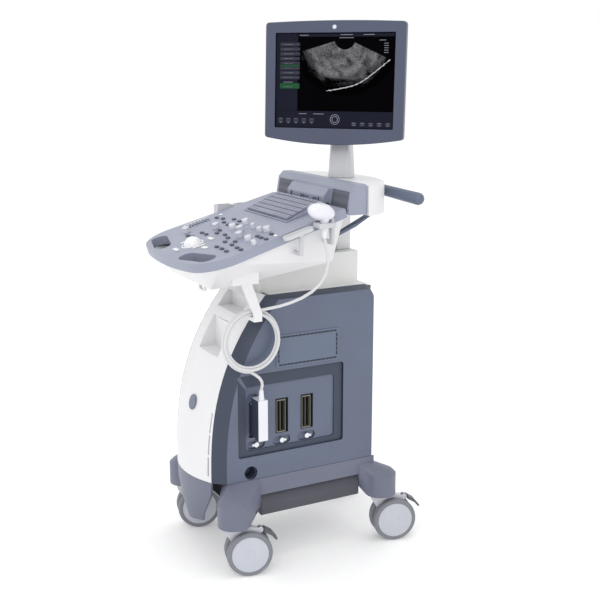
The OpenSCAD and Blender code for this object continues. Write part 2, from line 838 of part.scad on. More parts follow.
// ---------- casters ----------
module caster_fork(i) color("silver")
    on_caster(i) {
        cup = 24;
        web = web_half - 1;
        difference() {
            union() {
                side_slab(-web, web) polygon(concat(
                    [[-cup, 120], [-cup, 135], [trail - 8, 135], [trail + 30, 126]],
                    arc([trail, wheel_r], 52, 50, -20, 8),
                    arc([trail, wheel_r], 24, -40, -150, 6)
                ));
                side_slab(-web, web) translate([trail + pedal_y, pedal_z]) circle(8);
                translate([0, 0, 127]) cylinder(r = cup, h = 9);
                translate([0, 0, 130]) cylinder(r = stem_r, h = 60);
            }
            translate([-20, trail, wheel_r]) rotate([0, 90, 0]) cylinder(r = 6 + fit, h = 40);
            side_slab(-5.5, 5.5) translate([trail + pedal_y, pedal_z]) circle(9);
        }
        side_slab(-web, web) translate([trail + pedal_y, pedal_z]) circle(3);
    }

module caster_fork_1() caster_fork(0);
module caster_fork_2() caster_fork(1);
module caster_fork_3() caster_fork(2);
module caster_fork_4() caster_fork(3);

module wheel_set(i) color("gray")
    on_caster(i) translate([0, trail, wheel_r]) rotate([0, 90, 0]) {
        for (s = [0, 1]) mirror([0, 0, s]) rotate_extrude($fn = 96)
            polygon([
                [0, web_half], [wheel_r - 6, web_half], [wheel_r, web_half + 5],
                [wheel_r, web_half + wheel_w - 6], [wheel_r - 6, web_half + wheel_w],
                [wheel_r - 12, web_half + wheel_w], [wheel_r - 13, web_half + wheel_w - 2],
                [0, web_half + wheel_w - 1]
            ]);
        translate([0, 0, -web_half - 1]) cylinder(r = 6, h = 2 * web_half + 2);
    }

module wheel_set_1() wheel_set(0);
module wheel_set_2() wheel_set(1);
module wheel_set_3() wheel_set(2);
module wheel_set_4() wheel_set(3);

module brake_pedal(i) color(i == 1 ? "gainsboro" : "dimgray")
    on_caster(i) translate([0, trail + pedal_y, pedal_z]) difference() {
        union() {
            side_slab(-5, 5) circle(7);
            side_slab(-5, 5) polygon([[0, 6], [14, 3], [14, -6], [0, -3]]);
            side_slab(-14, 14)
                polygon([[10, 4], [32, -10], [46, -28], [42, -32], [30, -18], [10, -6]]);
        }
        side_slab(-20, 20) circle(3 + fit);
    }

module brake_pedal_1() brake_pedal(0);
module brake_pedal_2() brake_pedal(1);
module brake_pedal_3() brake_pedal(2);
module brake_pedal_4() brake_pedal(3);

chassis_frame();
base_skirt();
foot_rails();
front_cover();
side_cover_right();
side_cover_left();
rear_cover();
connector_panel();
port_sockets();
blank_plates();
vent_inserts();
neck_cover();
power_supply();
card_cage();
fan_rotor();
power_inlet();
mains_switch();
console_tray();
console_deck();
console_board();
keyboard_base();
keyboard_keys();
deck_keys();
gain_sliders();
trackball();
knob_1();
knob_2();
knob_3();
knob_4();
speaker_bar();
speakers();
rear_housing();
rear_handles();
probe_holders();
cable_hangers();
probe();
probe_lead();
lead_coil();
probe_plug();
lock_lever_1();
lock_lever_2();
lock_lever_3();
column_post();
monitor_bezel();
monitor_back();
lcd_panel();
monitor_board();
caster_fork_1();
caster_fork_2();
caster_fork_3();
caster_fork_4();
wheel_set_1();
wheel_set_2();
wheel_set_3();
wheel_set_4();
brake_pedal_1();
brake_pedal_2();
brake_pedal_3();
brake_pedal_4();
cover_screws();
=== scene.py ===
"""Cart ultrasound scanner: finishes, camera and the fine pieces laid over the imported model."""

import json
import logging
from collections.abc import Callable, Iterable
from dataclasses import dataclass
from enum import Enum
from math import cos, pi, radians, sin

import bmesh
import bpy
from mathutils import Matrix, Vector

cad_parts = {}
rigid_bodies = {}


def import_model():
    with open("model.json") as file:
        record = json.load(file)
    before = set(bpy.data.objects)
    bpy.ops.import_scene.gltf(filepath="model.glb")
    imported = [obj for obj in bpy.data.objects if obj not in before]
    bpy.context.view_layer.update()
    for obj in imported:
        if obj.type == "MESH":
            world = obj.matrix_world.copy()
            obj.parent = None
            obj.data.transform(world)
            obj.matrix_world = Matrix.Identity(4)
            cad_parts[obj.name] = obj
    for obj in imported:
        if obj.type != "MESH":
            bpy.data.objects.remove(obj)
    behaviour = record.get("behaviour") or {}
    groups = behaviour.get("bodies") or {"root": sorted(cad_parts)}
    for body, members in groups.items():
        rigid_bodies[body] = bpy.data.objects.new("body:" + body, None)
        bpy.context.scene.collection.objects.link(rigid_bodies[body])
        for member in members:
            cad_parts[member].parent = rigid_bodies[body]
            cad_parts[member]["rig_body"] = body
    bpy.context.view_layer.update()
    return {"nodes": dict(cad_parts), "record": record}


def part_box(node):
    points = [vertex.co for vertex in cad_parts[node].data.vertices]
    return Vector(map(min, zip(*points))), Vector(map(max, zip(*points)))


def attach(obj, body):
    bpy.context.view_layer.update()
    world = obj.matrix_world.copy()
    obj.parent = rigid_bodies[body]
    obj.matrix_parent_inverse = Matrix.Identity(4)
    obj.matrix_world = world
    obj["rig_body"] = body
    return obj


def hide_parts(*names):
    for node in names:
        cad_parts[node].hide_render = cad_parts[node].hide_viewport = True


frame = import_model()
LOG = logging.getLogger("scanner")

RGB = tuple[float, float, float]
Point = tuple[float, float, float]
Area = tuple[float, float, float, float]
Profile = list[tuple[float, float]]
MM = 0.001

# how every finish varies over its surface
DRIFT_SCALE, DRIFT_DETAIL, DRIFT_FROM, DRIFT_TO = 7.0, 4.0, 0.3, 0.7
GRAIN_DETAIL, GRAIN_SHARE = 3.0, 0.12
GLOSS_SWING, LEAST_ROUGH = 0.07, 0.03
COAT_ROUGH, BUMP_STRENGTH = 0.12, 0.5
HOLE_SCALE, HOLE_INNER, HOLE_OUTER, HOLE_TONE = 260.0, 0.28, 0.36, 0.25
BRUSH_SCALE, BRUSH_WAVER, BRUSH_DETAIL, BRUSH_TONE = 60.0, 2.0, 3.0, 0.92

# the echo picture: fine speckle, broad tissue, and how it fades with depth
SPECKLE_STRETCH, SPECKLE_DETAIL = (26.0, 70.0, 1.0), 5.0
TISSUE_SCALE, TISSUE_DETAIL, TISSUE_WARP = 5.0, 2.0, 0.8
FADE_DEEP, FADE_NEAR = 1.0, 0.55
ECHO_FROM, ECHO_TO = 0.10, 0.46
ECHO_DARK, ECHO_BRIGHT = (0.0005, 0.0005, 0.0006, 1), (0.15, 0.15, 0.16, 1)

# sockets of a Mix node that is set to colour
MIX_FIRST, MIX_SECOND, MIX_RESULT = 6, 7, 2

# frames of the tilted and turned sub-assemblies
DECK = Matrix.Translation((0, 0, 0.942)) @ Matrix.Rotation(radians(15.6), 4, "X")
KEYBOARD = DECK @ Matrix.Translation((0, -0.030, 0.002)) @ Matrix.Rotation(radians(7), 4, "X")
COLUMN = Matrix.Translation((0, 0.213, 0)) @ Matrix.Rotation(radians(42), 4, "Z")
MONITOR = (
    COLUMN
    @ Matrix.Translation((0, -0.012, 1.285))
    @ Matrix.Rotation(radians(-3), 4, "X")
    @ Matrix.Translation((0, 0.012, -1.285))
)
SCREEN = MONITOR @ Matrix.Translation((0, -0.080, 1.290)) @ Matrix.Rotation(radians(90), 4, "X")
FLANK = Matrix.Rotation(radians(90), 4, "Z") @ Matrix.Rotation(radians(90), 4, "X")
PIVOTS = ((0.172, -0.211), (0.172, 0.249), (-0.172, 0.249), (-0.172, -0.211))


def linear(colour: RGB) -> tuple[float, float, float, float]:
    """Turn an sRGB colour of 0 to 255 into a linear one.

    Args:
        colour: red, green and blue from 0 to 255.

    Returns:
        Linear red, green, blue and an alpha of 1.
    """
    return (*(((c / 255 + 0.055) / 1.055) ** 2.4 if c > 10 else c / 255 / 12.92 for c in colour), 1.0)


class Pattern(Enum):
    """What a finish shows besides its fine grain."""

    PLAIN = "plain"
    BRUSHED = "brushed"
    PERFORATED = "perforated"
    SCAN = "scan"


@dataclass(frozen=True)
class Finish:
    """A procedural surface: tone that drifts, fine grain in bump and gloss, and an optional pattern."""

    name: str
    colour: RGB
    rough: float = 0.45
    drift: float = 0.05
    grain: float = 700.0
    depth: float = 0.00008
    metal: float = 0.0
    coat: float = 0.0
    glow: float = 0.0
    shine: float = 0.5
    pattern: Pattern = Pattern.PLAIN

    def material(self) -> bpy.types.Material:
        """Build the material, or return the one already built.

        Returns:
            The Blender material of this finish.
        """
        known = bpy.data.materials.get(self.name)
        if known:
            return known
        mat = bpy.data.materials.new(self.name)
        mat.use_nodes = True
        nodes, links = mat.node_tree.nodes, mat.node_tree.links
        shader = nodes["Principled BSDF"]
        shader.inputs["Metallic"].default_value = self.metal
        shader.inputs["Coat Weight"].default_value = self.coat
        shader.inputs["Specular IOR Level"].default_value = self.shine
        shader.inputs["Coat Roughness"].default_value = COAT_ROUGH
        place = nodes.new("ShaderNodeTexCoord")
        broad = nodes.new("ShaderNodeTexNoise")
        broad.inputs["Scale"].default_value = DRIFT_SCALE
        broad.inputs["Detail"].default_value = DRIFT_DETAIL
        links.new(place.outputs["Object"], broad.inputs["Vector"])
        fine = nodes.new("ShaderNodeTexNoise")
        fine.inputs["Scale"].default_value = self.grain
        fine.inputs["Detail"].default_value = GRAIN_DETAIL
        links.new(place.outputs["Object"], fine.inputs["Vector"])
        tone = nodes.new("ShaderNodeValToRGB")
        base = linear(self.colour)
        tone.color_ramp.elements[0].position = DRIFT_FROM
        tone.color_ramp.elements[1].position = DRIFT_TO
        tone.color_ramp.elements[0].color = (*(c * (1 - self.drift) for c in base[:3]), 1)
        tone.color_ramp.elements[1].color = (*(min(1.0, c * (1 + self.drift)) for c in base[:3]), 1)
        links.new(broad.outputs["Fac"], tone.inputs["Fac"])
        speck = nodes.new("ShaderNodeMix")
        speck.data_type = "RGBA"
        speck.blend_type = "MULTIPLY"
        speck.inputs[0].default_value = GRAIN_SHARE
        links.new(tone.outputs["Color"], speck.inputs[MIX_FIRST])
        links.new(fine.outputs["Color"], speck.inputs[MIX_SECOND])
        gloss = nodes.new("ShaderNodeMapRange")
        gloss.inputs["To Min"].default_value = max(LEAST_ROUGH, self.rough - GLOSS_SWING)
        gloss.inputs["To Max"].default_value = min(1.0, self.rough + GLOSS_SWING)
        links.new(fine.outputs["Fac"], gloss.inputs["Value"])
        links.new(gloss.outputs["Result"], shader.inputs["Roughness"])
        bump = nodes.new("ShaderNodeBump")
        bump.inputs["Strength"].default_value = BUMP_STRENGTH
        bump.inputs["Distance"].default_value = self.depth
        colour, height = speck.outputs[MIX_RESULT], fine.outputs["Fac"]
        if self.pattern is not Pattern.PLAIN:
            colour, height = self._patterned(nodes, links, place, colour, height)
        links.new(height, bump.inputs["Height"])
        links.new(bump.outputs["Normal"], shader.inputs["Normal"])
        links.new(colour, shader.inputs["Base Color"])
        if self.glow:
            links.new(colour, shader.inputs["Emission Color"])
            shader.inputs["Emission Strength"].default_value = self.glow
        return mat

    def _patterned(
        self,
        nodes: bpy.types.Nodes,
        links: bpy.types.NodeLinks,
        place: bpy.types.Node,
        colour: bpy.types.NodeSocket,
        height: bpy.types.NodeSocket,
    ) -> tuple[bpy.types.NodeSocket, bpy.types.NodeSocket]:
        """Add the finish's pattern to its colour and height.

        Args:
            nodes: the material's nodes.
            links: the material's links.
            place: the texture coordinate node.
            colour: the socket with the colour so far.
            height: the socket with the height so far.

        Returns:
            The new colour and height sockets.
        """
        if self.pattern is Pattern.SCAN:
            return self._scan(nodes, links, place), height
        if self.pattern is Pattern.PERFORATED:
            holes = nodes.new("ShaderNodeTexVoronoi")
            holes.inputs["Scale"].default_value = HOLE_SCALE
            holes.inputs["Randomness"].default_value = 0.0
            links.new(place.outputs["Object"], holes.inputs["Vector"])
            shape, low, high, tone = holes.outputs["Distance"], HOLE_INNER, HOLE_OUTER, HOLE_TONE
        else:
            lines = nodes.new("ShaderNodeTexWave")
            lines.wave_type = "BANDS"
            lines.bands_direction = "Z"
            lines.inputs["Scale"].default_value = BRUSH_SCALE
            lines.inputs["Distortion"].default_value = BRUSH_WAVER
            lines.inputs["Detail"].default_value = BRUSH_DETAIL
            links.new(place.outputs["Object"], lines.inputs["Vector"])
            shape, low, high, tone = lines.outputs["Fac"], 0.0, 1.0, BRUSH_TONE
        edge = nodes.new("ShaderNodeMapRange")
        edge.inputs["From Min"].default_value = low
        edge.inputs["From Max"].default_value = high
        edge.inputs["To Min"].default_value = tone
        links.new(shape, edge.inputs["Value"])
        mixed = nodes.new("ShaderNodeMix")
        mixed.data_type = "RGBA"
        mixed.blend_type = "MULTIPLY"
        mixed.inputs[0].default_value = 1.0
        links.new(colour, mixed.inputs[MIX_FIRST])
        links.new(edge.outputs["Result"], mixed.inputs[MIX_SECOND])
        return mixed.outputs[MIX_RESULT], edge.outputs["Result"]

    def _scan(
        self, nodes: bpy.types.Nodes, links: bpy.types.NodeLinks, place: bpy.types.Node
    ) -> bpy.types.NodeSocket:
        """Speckled echo picture that follows the fan's own map: across in U, depth in V.

        Args:
            nodes: the material's nodes.
            links: the material's links.
            place: the texture coordinate node.

        Returns:
            The colour socket.
        """
        stretch = nodes.new("ShaderNodeMapping")
        stretch.inputs["Scale"].default_value = SPECKLE_STRETCH
        links.new(place.outputs["UV"], stretch.inputs["Vector"])
        speckle = nodes.new("ShaderNodeTexNoise")
        speckle.inputs["Scale"].default_value = 1.0
        speckle.inputs["Detail"].default_value = SPECKLE_DETAIL
        links.new(stretch.outputs["Vector"], speckle.inputs["Vector"])
        tissue = nodes.new("ShaderNodeTexNoise")
        tissue.inputs["Scale"].default_value = TISSUE_SCALE
        tissue.inputs["Detail"].default_value = TISSUE_DETAIL
        tissue.inputs["Distortion"].default_value = TISSUE_WARP
        links.new(place.outputs["UV"], tissue.inputs["Vector"])
        product = nodes.new("ShaderNodeMath")
        product.operation = "MULTIPLY"
        links.new(speckle.outputs["Fac"], product.inputs[0])
        links.new(tissue.outputs["Fac"], product.inputs[1])
        split = nodes.new("ShaderNodeSeparateXYZ")
        links.new(place.outputs["UV"], split.inputs["Vector"])
        fade = nodes.new("ShaderNodeMapRange")
        fade.inputs["From Min"].default_value = FADE_DEEP
        fade.inputs["From Max"].default_value = FADE_NEAR
        links.new(split.outputs["Y"], fade.inputs["Value"])
        faded = nodes.new("ShaderNodeMath")
        faded.operation = "MULTIPLY"
        links.new(product.outputs[0], faded.inputs[0])
        links.new(fade.outputs["Result"], faded.inputs[1])
        ramp = nodes.new("ShaderNodeValToRGB")
        ramp.color_ramp.elements[0].position = ECHO_FROM
        ramp.color_ramp.elements[0].color = ECHO_DARK
        ramp.color_ramp.elements[1].position = ECHO_TO
        ramp.color_ramp.elements[1].color = ECHO_BRIGHT
        links.new(faded.outputs[0], ramp.inputs["Fac"])
        return ramp.outputs["Color"]


SLATE = Finish("slate moulding", (95, 104, 125), rough=0.36)
# painted shade: a darker copy of the slate moulding, laid on faces that are dark only because less light
# reaches them
SLATE_PAINTED_SHADE = Finish("slate painted shade", (54, 62, 81), rough=0.45)
SKIRT = Finish("skirt moulding", (108, 112, 130), rough=0.42)
WHITE = Finish("white moulding", (230, 230, 232), rough=0.38, drift=0.02)
NECK_WHITE = Finish("neck moulding", (230, 231, 229), rough=0.4, drift=0.03)
CONSOLE = Finish("console moulding", (149, 154, 172), rough=0.4)
KEYCAP = Finish("lavender keycaps", (142, 145, 164), rough=0.42, grain=1200)
DARK_KEY = Finish("dark keys", (75, 79, 99), rough=0.35)
PALE_KEY = Finish("pale keys", (235, 235, 235), rough=0.35)
SILVER = Finish("silver knobs", (221, 223, 231), rough=0.28, metal=0.35, pattern=Pattern.BRUSHED)
CHROME = Finish("polished lever", (225, 226, 230), rough=0.14, metal=1.0)
BALL = Finish("trackball", (240, 240, 242), rough=0.12, drift=0.02, coat=0.6)
GRILLE = Finish("speaker grille", (95, 97, 111), rough=0.55, pattern=Pattern.PERFORATED, depth=0.0006)
RAIL = Finish("foot rail", (75, 76, 86), rough=0.55)
DARK = Finish("dark insert", (34, 36, 48), rough=0.5)
STEEL = Finish("sheet metal", (169, 172, 176), rough=0.4, metal=0.7, pattern=Pattern.BRUSHED)
KHAKI = Finish("connector body", (66, 65, 58), rough=0.45)
GILT = Finish("connector shell", (128, 126, 116), rough=0.4, metal=0.5)
PLATE = Finish("blank plate", (99, 110, 131), rough=0.3)
BLACK = Finish("black moulding", (22, 22, 24), rough=0.45)
BOARD = Finish("green laminate", (41, 104, 63), rough=0.35)
HOLDER = Finish("holder moulding", (201, 202, 206), rough=0.42)
PROBE = Finish("probe shell", (232, 232, 240), rough=0.22, drift=0.02, coat=0.4)
CORD = Finish("lead jacket", (216, 216, 218), rough=0.45, drift=0.03)
COLUMN_GREY = Finish("column casing", (206, 207, 210), rough=0.32, metal=0.2)
BEZEL = Finish("monitor bezel", (72, 79, 101), rough=0.3)
GLASS = Finish("display glass", (6, 6, 8), rough=0.7, drift=0.1, shine=0.0)
FORK = Finish("fork casting", (208, 210, 217), rough=0.4)
TYRE = Finish("tyre", (127, 129, 136), rough=0.65)
DISC = Finish("wheel disc", (194, 197, 206), rough=0.4)
PEDAL = Finish("brake pedal", (90, 93, 99), rough=0.5)
INK_NAVY = Finish("screen navy", (16, 17, 32), rough=0.5, glow=0.4, shine=0.1)
INK_GREY = Finish("screen grey", (120, 122, 130), rough=0.5, glow=0.5, shine=0.1)
INK_DIM = Finish("screen dim", (44, 46, 56), rough=0.5, glow=0.5, shine=0.1)
INK_GREEN = Finish("screen green", (22, 66, 38), rough=0.5, glow=0.5, shine=0.1)
INK_WHITE = Finish("screen bright", (150, 152, 156), rough=0.5, glow=0.6, drift=0.3, grain=300, shine=0.1)
FLOOR = Finish("studio floor", (252, 252, 252), rough=0.9, drift=0.004, grain=40, glow=0.16, shine=0.0)
SCAN = Finish("echo picture", (90, 90, 92), rough=0.9, glow=0.8, shine=0.0, pattern=Pattern.SCAN)

# corners this close (metres) are one corner, and faces bent less than this (degrees) are one face
WELD, SPUN_WELD, FLAT_WITHIN = 0.00002, 0.00001, 0.6

BODY_OF = {node: piece["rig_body"] for node, piece in frame["nodes"].items()}
SLOT_OF = {part["node"]: part["material_slot"] for part in frame["record"]["subparts"]}


def finish_piece(
    name: str,
    shape: bmesh.types.BMesh,
    body: str,
    look: Finish,
    bevel: float = 0.0,
    segments: int = 2,
    sharp: float = 32.0,
    replaces: tuple[str, ...] = (),
) -> bpy.types.Object:
    """Turn a bmesh into a dressed object that rides on a CAD body.

    Args:
        name: the piece's name.
        shape: its mesh, already in the row frame; it is freed.
        body: the CAD body that it rides on.
        look: its finish.
        bevel: width of its rounded edges in metres, or 0.
        segments: steps round each rounded edge.
        sharp: edges bent more than this many degrees stay crisp.
        replaces: the CAD nodes that it stands for.

    Returns:
        The new object.
    """
    mesh = bpy.data.meshes.new(name)
    shape.to_mesh(mesh)
    shape.free()
    mesh.shade_smooth()
    mesh.set_sharp_from_angle(angle=radians(sharp))
    mesh.materials.append(look.material())
    piece = bpy.data.objects.new(name, mesh)
    bpy.context.scene.collection.objects.link(piece)
    if bevel:
        soften = piece.modifiers.new("edges", "BEVEL")
        soften.width = bevel
        soften.segments = segments
        soften.limit_method = "ANGLE"
        soften.angle_limit = radians(sharp)
        soften.harden_normals = True
    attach(piece, body)
    if replaces:
        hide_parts(*replaces)
    LOG.info("%s rides on %s", name, body)
    return piece


def soft_copy(
    node: str, look: Finish, bevel: float, segments: int = 2, sharp: float = 32.0
) -> bpy.types.Object:
    """Stand in for a CAD node with a merged copy whose edges are rounded.

    Args:
        node: the CAD node.
        look: the copy's finish.
        bevel: width of its rounded edges in metres.
        segments: steps round each rounded edge.
        sharp: edges bent more than this many degrees are rounded.

    Returns:
        The new object.
    """
    shape = bmesh.new()
    shape.from_mesh(frame["nodes"][node].data)
    bmesh.ops.remove_doubles(shape, verts=shape.verts, dist=WELD)
    bmesh.ops.dissolve_limit(
        shape, angle_limit=radians(FLAT_WITHIN), verts=shape.verts, edges=shape.edges,
        use_dissolve_boundaries=False,
    )
    return finish_piece(
        f"{node}_moulded", shape, BODY_OF[node], look, bevel, segments, sharp, (node,)
    )


def repaint(piece: bpy.types.Object, look: Finish, wanted: Callable[[bpy.types.MeshPolygon], bool]) -> None:
    """Give some faces of a piece a second finish.

    Args:
        piece: the piece.
        look: the second finish.
        wanted: tells whether a face takes it.
    """
    mesh = piece.data
    mesh.materials.append(look.material())
    for face in mesh.polygons:
        if wanted(face):
            face.material_index = len(mesh.materials) - 1


def dress(node: str, look: Finish) -> None:
    """Give a CAD node its finish."""
    mesh = frame["nodes"][node].data
    mesh.materials.clear()
    mesh.materials.append(look.material())


def tile(shape: bmesh.types.BMesh, place: Matrix, size: Point, round_by: float = 0.0) -> None:
    """Add a small block, centred on a place, with its upright corners rounded.

    Args:
        shape: the bmesh that takes it.
        place: the frame of its centre.
        size: its size along that frame's axes.
        round_by: radius of the upright corners.
    """
    verts = bmesh.ops.create_cube(shape, size=1.0, matrix=Matrix.Diagonal((*size, 1.0)))["verts"]
    if round_by:
        edges = {e for v in verts for e in v.link_edges}
        upright = [e for e in edges if abs((e.verts[0].co - e.verts[1].co).z) > size[2] * 0.9]
        made = bmesh.ops.bevel(
            shape, geom=upright, offset=round_by, offset_type="OFFSET", affect="EDGES", segments=4,
            profile=0.5, material=-1, clamp_overlap=True,
        )
        verts = list({v for f in made["faces"] for v in f.verts} | {v for v in verts if v.is_valid})
    bmesh.ops.transform(shape, matrix=place, verts=verts)


def lathe(shape: bmesh.types.BMesh, place: Matrix, profile: Profile, steps: int = 48) -> None:
    """Spin a closed (along, radius) profile about a place's X axis.

    Args:
        shape: the bmesh that takes it.
        place: the frame whose X axis is the axis of turning.
        profile: points along the axis and out from it, in order round the section.
        steps: steps in the full turn.
    """
    ring = [shape.verts.new((x, 0.0, r)) for x, r in profile]
    edges = [shape.edges.new((ring[i], ring[(i + 1) % len(ring)])) for i in range(len(ring))]
    bmesh.ops.spin(
        shape, geom=ring + edges, cent=(0, 0, 0), axis=(1, 0, 0), angle=2 * pi, steps=steps, use_merge=True
    )
    reach, stack = set(ring), list(ring)
    while stack:
        for e in stack.pop().link_edges:
            for v in e.verts:
                if v not in reach:
                    reach.add(v)
                    stack.append(v)
    verts = list(reach)
    bmesh.ops.remove_doubles(shape, verts=verts, dist=SPUN_WELD)
    verts = [v for v in verts if v.is_valid]
    faces = list({f for v in verts for f in v.link_faces})
    bmesh.ops.recalc_face_normals(shape, faces=faces)
    bmesh.ops.transform(shape, matrix=place, verts=verts)


@dataclass
class Studio:
    """Camera, pale floor and soft lights."""

    eye: Point = (2.524, -1.278, 1.345)
    azimuth: float = 61.7
    pitch: float = 12.9
    lens: float = 62.58
    sensor: float = 36.0
    view_end: float = 60.0
    floor_half: float = 14.0
    world_power: float = 1.0
    lamps: tuple[tuple[str, Point, Point, float, float], ...] = (
        ("key", (3.2, -2.6, 3.4), (0, 0, 0.8), 2.6, 36.0),
        ("fill", (-2.8, -3.0, 2.2), (0, 0, 0.9), 3.0, 8.0),
        ("top", (0.2, 0.4, 4.2), (0, 0, 0.6), 3.0, 20.0),
    )

    def build(self) -> None:
        """Set up the camera, the floor and the lights."""
        scene = bpy.context.scene
        data = bpy.data.cameras.new("camera")
        data.lens, data.sensor_width = self.lens, self.sensor
        data.dof.use_dof = False
        data.clip_end = self.view_end
        camera = bpy.data.objects.new("camera", data)
        a, p = radians(self.azimuth), radians(self.pitch)
        ahead = Vector((-sin(a) * cos(p), cos(a) * cos(p), -sin(p)))
        camera.location = self.eye
        camera.rotation_euler = ahead.to_track_quat("-Z", "Y").to_euler()
        scene.collection.objects.link(camera)
        scene.camera = camera
        shape = bmesh.new()
        bmesh.ops.create_grid(shape, x_segments=2, y_segments=2, size=self.floor_half)
        mesh = bpy.data.meshes.new("floor")
        shape.to_mesh(mesh)
        shape.free()
        floor = bpy.data.objects.new("floor", mesh)
        mesh.materials.append(FLOOR.material())
        scene.collection.objects.link(floor)
        world = bpy.data.worlds.new("studio")
        world.use_nodes = True
        world.node_tree.nodes["Background"].inputs["Color"].default_value = (1.0, 1.0, 1.0, 1)
        world.node_tree.nodes["Background"].inputs["Strength"].default_value = self.world_power
        scene.world = world
        scene.view_settings.view_transform = "Standard"
        for lamp in self.lamps:
            self._light(*lamp)

    def _light(self, name: str, place: Point, aim: Point, size: float, power: float) -> None:
        """Add one soft area light.

        Args:
            name: the light's name.
            place: where it stands.
            aim: the point it faces.
            size: its width.
            power: its strength in watts.
        """
        data = bpy.data.lights.new(name, "AREA")
        data.size, data.energy = size, power
        light = bpy.data.objects.new(name, data)
        light.location = place
        light.rotation_euler = (Vector(aim) - Vector(place)).to_track_quat("-Z", "Y").to_euler()
        bpy.context.scene.collection.objects.link(light)


@dataclass
class ProbeLead:
    """The probe's lead: down from the head, three and a half turns on the hanger, into the plug."""

    diameter: float = 0.008
    centre: Point = (0.178, -0.155, 0.641)
    radius: float = 0.077
    nest: float = 0.0057
    first: float = 80.0
    last: float = 1346.5
    steps: int = 128
    phase: float = 45.0
    weave: float = 4.0
    top: tuple[Point, ...] = (
        (234, 26, 905), (235, 30, 884), (236, 35, 860), (236, 36, 835), (234, 30, 808),
        (231, 16, 785), (226, -6, 765), (219, -32, 750), (211, -60, 739), (202, -88, 731),
        (193, -114, 726),
    )
    tail: tuple[Point, ...] = (
        (182, -148, 550), (185, -138, 541), (184, -131, 530), (178, -127, 518), (172, -127, 504),
    )

    def route(self) -> list[Vector]:
        """Work out the centreline.

        Returns:
            The points from the probe to the plug, in metres.
        """
        line = [Vector(p) * MM for p in self.top]
        first, last = radians(self.first), radians(self.last)
        for k in range(self.steps + 1):
            turn = first + (last - first) * k / self.steps
            phase = radians(self.phase) + (turn - first) / self.weave
            r = self.radius + self.nest * cos(phase)
            line.append(Vector((
                self.centre[0] + self.nest * sin(phase),
                self.centre[1] + r * cos(turn),
                self.centre[2] + r * sin(turn),
            )))
        return line + [Vector(p) * MM for p in self.tail]

    def build(self) -> bpy.types.Object:
        """Returns:
            The lead.
        """
        points = self.route()
        data = bpy.data.curves.new("lead", "CURVE")
        data.dimensions = "3D"
        data.bevel_depth = self.diameter / 2
        data.bevel_resolution = 4
        data.resolution_u = 2
        data.use_fill_caps = True
        line = data.splines.new("POLY")
        line.points.add(len(points) - 1)
        for spot, p in zip(line.points, points):
            spot.co = (*p, 1.0)
        line.use_smooth = True
        data.materials.append(CORD.material())
        lead = bpy.data.objects.new("lead", data)
        bpy.context.scene.collection.objects.link(lead)
        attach(lead, BODY_OF["probe_lead"])
        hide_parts("probe_lead", "lead_coil")
        plug = soft_copy("probe_plug", PROBE, 0.003, 3)
        # painted shade: the plug's large side faces turned towards -Y take the dark slate because they lie in
        # shadow
        repaint(plug, SLATE_PAINTED_SHADE, lambda f: f.normal.y < -0.9 and f.area > 0.0005)
        return lead


